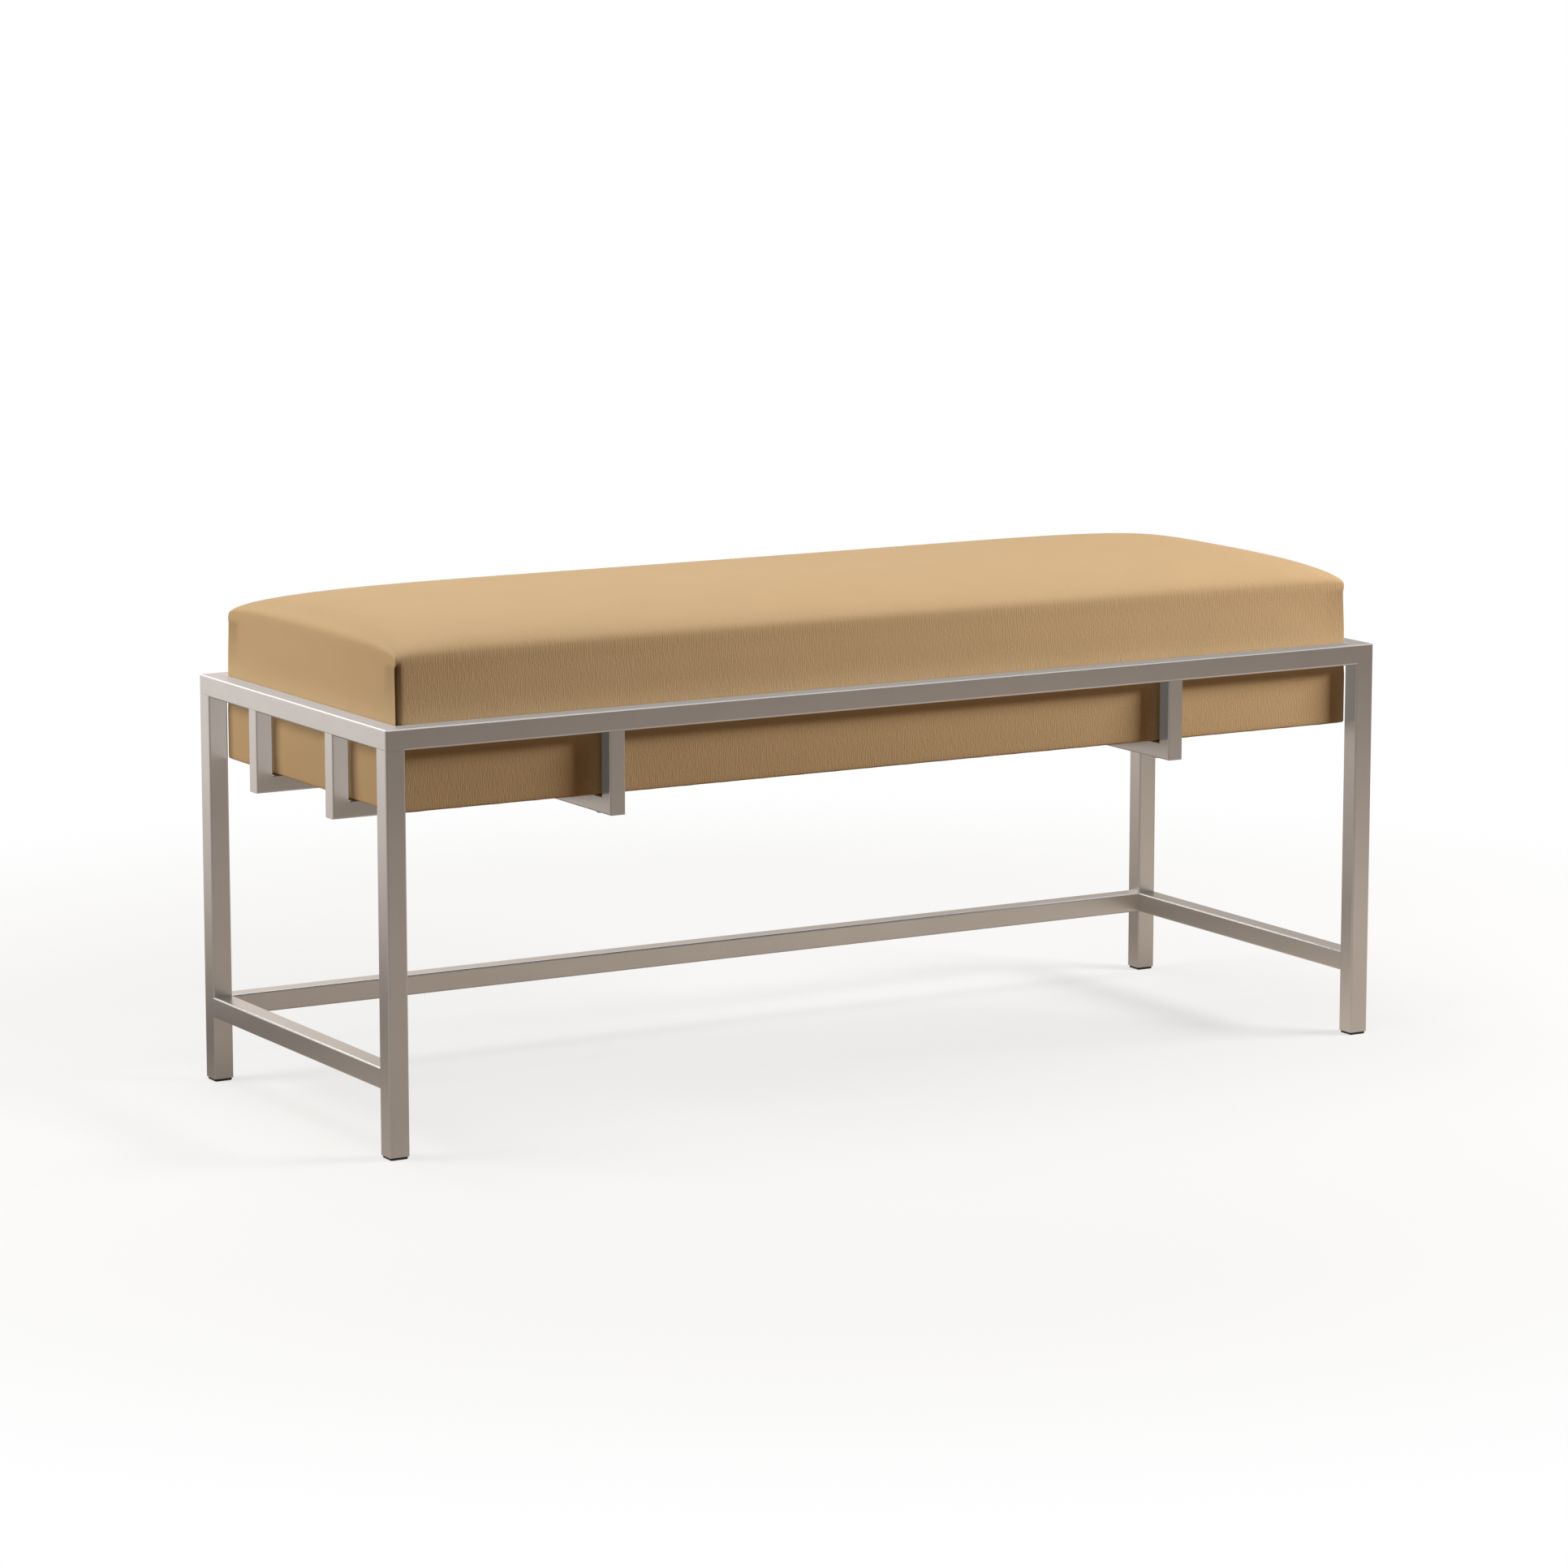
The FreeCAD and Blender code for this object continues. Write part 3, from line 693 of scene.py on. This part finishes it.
# Staples: flat galvanised wire, driven up through the dust cover and the hem into the box's rails.
# A gun sets them about three fingers apart, never quite straight, and skips the places under a cradle bar.
STAPLE_CROWN = 10 * MM
STAPLE_WIRE = (1.2 * MM, 0.6 * MM)
STAPLE_LEG = 1.5 * MM
STAPLE_BEND = 0.5 * MM
STAPLE_SKEW = 0.12
ZINC_PALE = "C9CACB"
ZINC_GREY = "9C9EA1"
ZINC_SPANGLE = 3 * MM
SEED = 7


def galvanised_steel(name, spangle, roughness):
    """Zinc-coated steel: a pale grey metal whose coat clouds in small patches."""
    material, tree, output = new_material(name)
    place = add_node(tree, "ShaderNodeTexCoord", {}, {}).outputs["Object"]
    patch = add_node(tree, "ShaderNodeTexNoise", {}, {"Vector": place, "Scale": 1 / spangle}).outputs[0]
    tone = add_node(tree, "ShaderNodeMix", {"data_type": "RGBA"}, {
        0: patch, 6: linear(ZINC_GREY), 7: linear(ZINC_PALE)}).outputs[2]
    shader = add_node(tree, "ShaderNodeBsdfPrincipled", {}, {
        "Base Color": tone, "Metallic": 1.0, "Roughness": roughness})
    tree.links.new(shader.outputs[0], output.inputs[0])
    return material


def staple_rings():
    """One staple at the origin: a flat wire section carried along its crown and up both bent legs.

    The line is u from -1 to 1 along the crown, with quarter bends of a small radius at both ends.
    """
    turn = np.linspace(0, math.pi / 2, 4)
    half = STAPLE_CROWN / 2 - STAPLE_BEND
    bend_x = half + STAPLE_BEND * np.sin(turn)
    bend_z = STAPLE_BEND * (1 - np.cos(turn))
    line_x = np.concatenate([[bend_x[-1]], bend_x[::-1]])
    line_z = np.concatenate([[STAPLE_LEG], bend_z[::-1]])
    tilt = np.concatenate([[math.pi / 2], turn[::-1]])
    line_x = np.concatenate([line_x, -line_x[::-1]])
    line_z = np.concatenate([line_z, line_z[::-1]])
    tilt = np.concatenate([tilt, -tilt[::-1]])
    width, thick = STAPLE_WIRE
    around = math.pi / 4 + np.arange(8) * math.pi / 4
    side = np.clip(1.3 * np.cos(around), -1, 1) * width / 2
    up = np.clip(1.3 * np.sin(around), -1, 1) * thick / 2
    x = line_x[:, None] - np.sin(tilt)[:, None] * up
    z = line_z[:, None] + np.cos(tilt)[:, None] * up
    return np.stack([x, np.broadcast_to(side, x.shape), z], axis=-1)


def clear_of_bar(along, inner, outer):
    """The places along an edge that a staple can go without meeting a bar on either side of the middle."""
    reach = np.abs(along)
    return along[(reach < inner - STAPLE_CROWN) | (reach > outer + STAPLE_CROWN)]


def staple_places():
    """Middle and direction of each staple, round the sheet's edge between the cradle bars."""
    half_x, half_y = dust_high[:2] - STAPLE_INSET
    count_x = int(half_x / STAPLE_PITCH)
    count_y = int(half_y / STAPLE_PITCH)
    along_x = np.arange(-count_x, count_x + 1) * STAPLE_PITCH
    along_y = np.arange(-count_y, count_y + 1) * STAPLE_PITCH
    along_x = clear_of_bar(along_x, cross_low[0], cross_high[0])
    along_y = clear_of_bar(along_y, bar_low[1], bar_high[1])
    places = [(x, side * half_y, 0.0) for side in (-1, 1) for x in along_x]
    places += [(side * half_x, y, math.pi / 2) for side in (-1, 1) for y in along_y]
    return np.array(places)


places = staple_places()
skew = np.random.default_rng(SEED).normal(0, STAPLE_SKEW, len(places))
one_staple = staple_rings()
turn = places[:, 2] + skew
local = one_staple.reshape(-1, 3)
staple_x = places[:, :1] + local[:, 0] * np.cos(turn)[:, None] - local[:, 1] * np.sin(turn)[:, None]
staple_y = places[:, 1:2] + local[:, 0] * np.sin(turn)[:, None] + local[:, 1] * np.cos(turn)[:, None]
staple_z = np.broadcast_to(dust_low[2] - STAPLE_WIRE[1] / 2 + local[:, 2], staple_x.shape)
staple_points = np.stack([staple_x, staple_y, staple_z], axis=-1).reshape(-1, 3)
one_quads = tube_quads(*one_staple.shape[:2])
staple_quads = (np.arange(len(places))[:, None, None] * len(local) + one_quads).reshape(-1, 4)
staple_zinc = galvanised_steel("galvanised_staple_wire", ZINC_SPANGLE, 0.35)
staples = mesh_piece("dust_cover_staples", staple_points, staple_quads, staple_zinc)
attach(staples, "root")

# Seat screws: zinc-plated wood screws with pan heads and cross recesses.
# They are driven up through holes in the cross cradles into the box's long rails.
SCREW_PAN_POWER = 2.8
SCREW_SHANK_SHARE = 0.5
SCREW_TIP = 8 * MM
RECESS_HALF_WIDTH = 0.75 * MM
RECESS_REACH = 2.6 * MM
RECESS_DEPTH = 1.9 * MM
RECESS_SOFTNESS = 0.35 * MM
HEAD_RINGS = 32
HEAD_SIDES = 96

screw_low, screw_high = (np.array(corner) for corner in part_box("seat_screws"))
head_height = cross_low[2] - screw_low[2]
head_radius = screw_high[0] - (cross_low[0] + cross_high[0]) / 2
screw_x, screw_y = screw_high[:2] - head_radius


def soft_step(value, edge):
    """1 well inside an edge and 0 well outside it, with a smooth ramp between."""
    share = np.clip((edge - value) / RECESS_SOFTNESS + 0.5, 0, 1)
    return share**2 * (3 - 2 * share)


def screw_rings():
    """One screw, from the middle of its head's face out to the rim, in to the shank and up to the tip.

    The head is a super-ellipse, r = R cos(t)^(2/n) and depth = H sin(t)^(2/n), less the cross recess.
    """
    turn = np.linspace(math.pi / 2, 0, HEAD_RINGS)
    radius = head_radius * np.cos(turn).clip(0) ** (2 / SCREW_PAN_POWER)
    depth = head_height * np.sin(turn).clip(0) ** (2 / SCREW_PAN_POWER)
    shank = head_radius * SCREW_SHANK_SHARE
    tip = screw_high[2] - cross_low[2]
    radius = np.concatenate([radius, [shank, shank, 0.0]])
    height = np.concatenate([-depth, [0.0, tip - SCREW_TIP, tip]])
    angle = np.arange(HEAD_SIDES) * 2 * math.pi / HEAD_SIDES
    x = radius[:, None] * np.cos(angle)
    y = radius[:, None] * np.sin(angle)
    one_arm = soft_step(np.abs(x), RECESS_HALF_WIDTH) * soft_step(np.abs(y), RECESS_REACH)
    other_arm = soft_step(np.abs(y), RECESS_HALF_WIDTH) * soft_step(np.abs(x), RECESS_REACH)
    on_face = np.arange(len(radius))[:, None] < HEAD_RINGS
    z = height[:, None] + RECESS_DEPTH * np.maximum(one_arm, other_arm) * on_face
    return np.stack([x, y, z], axis=-1)


one_screw = screw_rings()
screw_spots = np.array([
    (side_x * screw_x, side_y * screw_y, cross_low[2]) for side_x in (-1, 1) for side_y in (-1, 1)])
screw_points = (screw_spots[:, None, :] + one_screw.reshape(-1, 3)).reshape(-1, 3)
one_quads = tube_quads(*one_screw.shape[:2])
first_points = np.arange(len(screw_spots))[:, None, None] * one_screw[..., 0].size
screw_quads = (first_points + one_quads).reshape(-1, 4)
screw_zinc = galvanised_steel("zinc_plated_screw", ZINC_SPANGLE, 0.28)
screws = mesh_piece("seat_screw_set", screw_points, screw_quads, screw_zinc)
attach(screws, "root")
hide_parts("seat_screws")

# Studio: pale floor paper, a white surround, and soft lamps above, to the right, to the left and at the back.
# A glowing bowl round the bench and two glowing bands round the seat show only in the metal, as painted
# reflections: they give it the dark and bright parts of a studio, a painted shadow of the bench on the floor,
# and less of the tan cloth to mirror.
PAPER_PALE = "FAFAF9"
PAPER_BOUNCE = "786040"
PAPER_RADIUS = 30.0
PAPER_CLEAR = 0.8
PAPER_WHITE = 1.8
AMBIENT = (0.055, 0.036, 0.016, 1.0)
TENT_RADIUS = 8.0
TENT_RISE = 3.0
TENT_WARM = (1.0, 0.87, 0.76)
TENT_COOL = (0.94, 1.0, 1.06)
TENT_BRIGHT_WAY = (-0.8, 0.6, 0.0)
TENT_REACH = 5.0
TENT_ALONG_X = ((-0.5, 0.46), (1.0, 0.74), (1.35, 0.7), (1.8, 0.42))
# Along y the grey dips near 0.42: a painted shadow of the bench on the floor, as the metal mirrors it
TENT_ALONG_Y = (
    (-2.6, 0.28), (-0.9, 1.12), (-0.47, 1.02), (-0.15, 1.12),
    (0.0, 1.03), (0.42, 0.42), (0.9, 0.88), (1.4, 1.2))
# The collars' painted reflections: their tint, grey levels along the sides, and grey at the ends
COLLAR_TINT = (1.0, 0.94, 0.88)
UPPER_COLLAR_SIDE = ((0.0, 0.53),)
UPPER_COLLAR_END = 0.79
LOWER_COLLAR_SIDE = ((-0.34, 0.13), (0.34, 0.18), (0.578, 0.32))
LOWER_COLLAR_END = 0.64
COLLAR_GAP = 0.25 * MM
COLLAR_RISE = 120 * MM
# Each lamp: its name, place, size, watts, colour, and whether the metal mirrors it
LAMPS = (
    ("lamp_overhead", (-0.3, 0.15, 2.6), (2.8, 1.3), 30.0, "FAFCFF", True),
    ("lamp_right", (2.7, -1.55, 1.55), (1.5, 0.6), 95.0, "FFFAF4", False),
    ("lamp_left", (-2.3, 0.75, 1.25), (1.4, 1.4), 28.0, "FFFBF0", False),
    ("lamp_edge", (-1.1, 2.55, 1.9), (1.0, 0.6), 7.5, "FFFFFF", True),
)
CAMERA_PLACE = (-2.9763, -5.0506, 1.2864)
CAMERA_TURN = 30.37
CAMERA_TILT = 9.565
CAMERA_LENS = 126.95


def seen_rays(tree):
    """1 for rays from the camera, mirrors and glass, 0 for the rest."""
    path = add_node(tree, "ShaderNodeLightPath", {}, {})
    first = add_node(tree, "ShaderNodeMath", {"operation": "MAXIMUM"}, {
        0: path.outputs["Is Camera Ray"], 1: path.outputs["Is Glossy Ray"]}).outputs[0]
    return add_node(tree, "ShaderNodeMath", {"operation": "MAXIMUM"}, {
        0: first, 1: path.outputs["Is Transmission Ray"]}).outputs[0]


def floor_paper():
    """Pale matt paper, clear from below. Where seen it is lifted to white, fully so away from the bench."""
    material, tree, output = new_material("pale_floor_paper")
    seen = seen_rays(tree)
    place = add_node(tree, "ShaderNodeTexCoord", {}, {}).outputs["Object"]
    away = add_node(tree, "ShaderNodeVectorMath", {"operation": "LENGTH"}, {0: place}).outputs["Value"]
    share = add_node(tree, "ShaderNodeMapRange", {"interpolation_type": "SMOOTHSTEP"}, {
        "Value": away, "From Min": PAPER_CLEAR, "From Max": PAPER_WHITE,
        "To Min": 0.68, "To Max": 1.0}).outputs[0]
    lift = add_node(tree, "ShaderNodeMath", {"operation": "MULTIPLY"}, {0: share, 1: seen}).outputs[0]
    tone = add_node(tree, "ShaderNodeMix", {"data_type": "RGBA"}, {
        0: seen, 6: linear(PAPER_BOUNCE), 7: linear(PAPER_PALE)}).outputs[2]
    paper = add_node(tree, "ShaderNodeBsdfDiffuse", {}, {"Color": tone}).outputs[0]
    white = add_node(tree, "ShaderNodeEmission", {}, {"Color": (1, 1, 1, 1), "Strength": 1.0}).outputs[0]
    mixed = add_node(tree, "ShaderNodeMixShader", {}, {0: lift, 1: paper, 2: white}).outputs[0]
    below = add_node(tree, "ShaderNodeNewGeometry", {}, {}).outputs["Backfacing"]
    clear = add_node(tree, "ShaderNodeBsdfTransparent", {}, {}).outputs[0]
    sheet = add_node(tree, "ShaderNodeMixShader", {}, {0: below, 1: mixed, 2: clear})
    tree.links.new(sheet.outputs[0], output.inputs[0])
    return material


def level_ramp(tree, value, levels):
    """A ramp of grey levels at places between -TENT_REACH and TENT_REACH."""
    share = add_node(tree, "ShaderNodeMapRange", {}, {
        "Value": value, "From Min": -TENT_REACH, "From Max": TENT_REACH}).outputs[0]
    ramp = add_node(tree, "ShaderNodeValToRGB", {}, {0: share})
    stops = ramp.color_ramp.elements
    for place, level in levels:
        stops.new(0.5 + 0.5 * place / TENT_REACH).color = (level, level, level, 1)
    stops.remove(stops[-1])
    stops.remove(stops[0])
    return ramp.outputs[0]


def studio_tent():
    """The studio as the metal sees it, as a glowing painted reflection: warm grey in bands along x and y, with a
    painted shadow of the bench near y = 0.42, and bright at the left back.
    """
    material, tree, output = new_material("painted_reflection_tent")
    place = add_node(tree, "ShaderNodeTexCoord", {}, {}).outputs["Object"]
    axes = add_node(tree, "ShaderNodeSeparateXYZ", {}, {0: place})
    along_x = level_ramp(tree, axes.outputs[0], TENT_ALONG_X)
    along_y = level_ramp(tree, axes.outputs[1], TENT_ALONG_Y)
    level = add_node(tree, "ShaderNodeMath", {"operation": "MULTIPLY"}, {0: along_x, 1: along_y}).outputs[0]
    warm = add_node(tree, "ShaderNodeVectorMath", {"operation": "SCALE"}, {
        0: TENT_WARM, "Scale": level}).outputs[0]
    way = add_node(tree, "ShaderNodeVectorMath", {"operation": "DOT_PRODUCT"}, {
        0: place, 1: TENT_BRIGHT_WAY}).outputs["Value"]
    bright = add_node(tree, "ShaderNodeMapRange", {}, {
        "Value": way, "From Min": 1.2, "From Max": 2.7, "To Min": 0.0, "To Max": 0.62}).outputs[0]
    cool = add_node(tree, "ShaderNodeVectorMath", {"operation": "SCALE"}, {
        0: TENT_COOL, "Scale": bright}).outputs[0]
    colour = add_node(tree, "ShaderNodeVectorMath", {"operation": "ADD"}, {0: warm, 1: cool}).outputs[0]
    glow = add_node(tree, "ShaderNodeEmission", {}, {"Color": colour, "Strength": 1.0})
    tree.links.new(glow.outputs[0], output.inputs[0])
    return material


def reflection_collar(name, low, high, gap, side_levels, end_level):
    """A glowing band round the seat, seen only by the metal in place of the cloth behind it: a painted
    reflection.

    Its four walls stand a gap outside the seat's oblong, from a low to a high level. The side walls change
    their grey along the length.
    """
    material, tree, output = new_material("painted_reflection_" + name)
    place = add_node(tree, "ShaderNodeTexCoord", {}, {}).outputs["Object"]
    along = add_node(tree, "ShaderNodeSeparateXYZ", {}, {0: place}).outputs[0]
    facing = add_node(tree, "ShaderNodeNewGeometry", {}, {}).outputs["Normal"]
    end_way = add_node(tree, "ShaderNodeSeparateXYZ", {}, {0: facing}).outputs[0]
    at_end = add_node(tree, "ShaderNodeMath", {"operation": "ABSOLUTE"}, {0: end_way}).outputs[0]
    level = add_node(tree, "ShaderNodeMix", {"data_type": "FLOAT"}, {
        0: at_end, 2: level_ramp(tree, along, side_levels), 3: end_level}).outputs[0]
    colour = add_node(tree, "ShaderNodeVectorMath", {"operation": "SCALE"}, {
        0: COLLAR_TINT, "Scale": level}).outputs[0]
    glow = add_node(tree, "ShaderNodeEmission", {}, {"Color": colour, "Strength": 1.0})
    tree.links.new(glow.outputs[0], output.inputs[0])
    signs = np.array([(-1, -1), (1, -1), (1, 1), (-1, 1)])
    corners = signs * (np.array([half_length, half_depth]) + gap)
    points = np.concatenate([np.column_stack([corners, np.full(4, level_z)]) for level_z in (low, high)])
    band = mesh_piece(name, points, tube_quads(2, 4), material)
    band.data.polygons.foreach_set("use_smooth", [False] * 4)
    return band


def disc(name, radius, height, rise, material):
    """A round sheet: rings at radius * s^2, at a height plus rise * smooth step of s from half to the rim."""
    share = np.linspace(0, 1, 33)
    angle = np.arange(64) * 2 * math.pi / 64
    x = radius * share[:, None] ** 2 * np.cos(angle)
    y = radius * share[:, None] ** 2 * np.sin(angle)
    outer = np.clip(2 * share - 1, 0, 1)[:, None]
    z = height + rise * outer**2 * (3 - 2 * outer) + 0 * x
    points = np.stack([x, y, z], axis=-1)
    return mesh_piece(name, points.reshape(-1, 3), tube_quads(*points.shape[:2])[:, ::-1], material)


def lamp(name, place, size, power, colour, mirrored):
    """A soft lamp that faces the middle of the seat, and that the metal mirrors or not."""
    light = bpy.data.lights.new(name, "AREA")
    light.shape = "RECTANGLE"
    light.size, light.size_y = size
    light.energy = power
    light.color = linear(colour)[:3]
    made = bpy.data.objects.new(name, light)
    made.location = place
    made.visible_glossy = mirrored
    aim = np.array((0.0, 0.0, 0.4)) - np.array(place)
    level = math.hypot(aim[0], aim[1])
    made.rotation_euler = (math.atan2(level, -aim[2]), 0, math.atan2(-aim[0], aim[1]))
    bpy.context.scene.collection.objects.link(made)


floor = disc("floor", PAPER_RADIUS, 0.0, 0.0, floor_paper())
tent = disc("studio_tent", TENT_RADIUS, 0.2 * MM, TENT_RISE, studio_tent())
upper_collar = reflection_collar(
    "upper_collar", ring_top + COLLAR_GAP, ring_top + COLLAR_RISE, COLLAR_GAP,
    UPPER_COLLAR_SIDE, UPPER_COLLAR_END)
lower_collar = reflection_collar(
    "lower_collar", seat_foot, ring_foot, LOW_FILL + LOW_BULGE + COLLAR_GAP,
    LOWER_COLLAR_SIDE, LOWER_COLLAR_END)
for unseen in (tent, upper_collar, lower_collar):
    unseen.visible_camera = False
    unseen.visible_diffuse = False
    unseen.visible_transmission = False
    unseen.visible_shadow = False
for row in LAMPS:
    lamp(*row)

world = bpy.data.worlds.new("studio")
world.use_nodes = True
sky = world.node_tree
sky.nodes.clear()
surround = add_node(sky, "ShaderNodeMix", {"data_type": "RGBA"}, {
    0: seen_rays(sky), 6: AMBIENT, 7: (1, 1, 1, 1)}).outputs[2]
back = add_node(sky, "ShaderNodeBackground", {}, {"Color": surround, "Strength": 1.0})
add_node(sky, "ShaderNodeOutputWorld", {}, {0: back.outputs[0]})
bpy.context.scene.world = world
bpy.context.scene.view_settings.view_transform = "Standard"

lens = bpy.data.cameras.new("camera")
lens.lens = CAMERA_LENS
lens.sensor_width = 36.0
lens.clip_end = 100.0
camera = bpy.data.objects.new("camera", lens)
camera.location = CAMERA_PLACE
camera.rotation_euler = (math.radians(90 - CAMERA_TILT), 0, math.radians(-CAMERA_TURN))
bpy.context.scene.collection.objects.link(camera)
bpy.context.scene.camera = camera

bpy.context.view_layer.update()
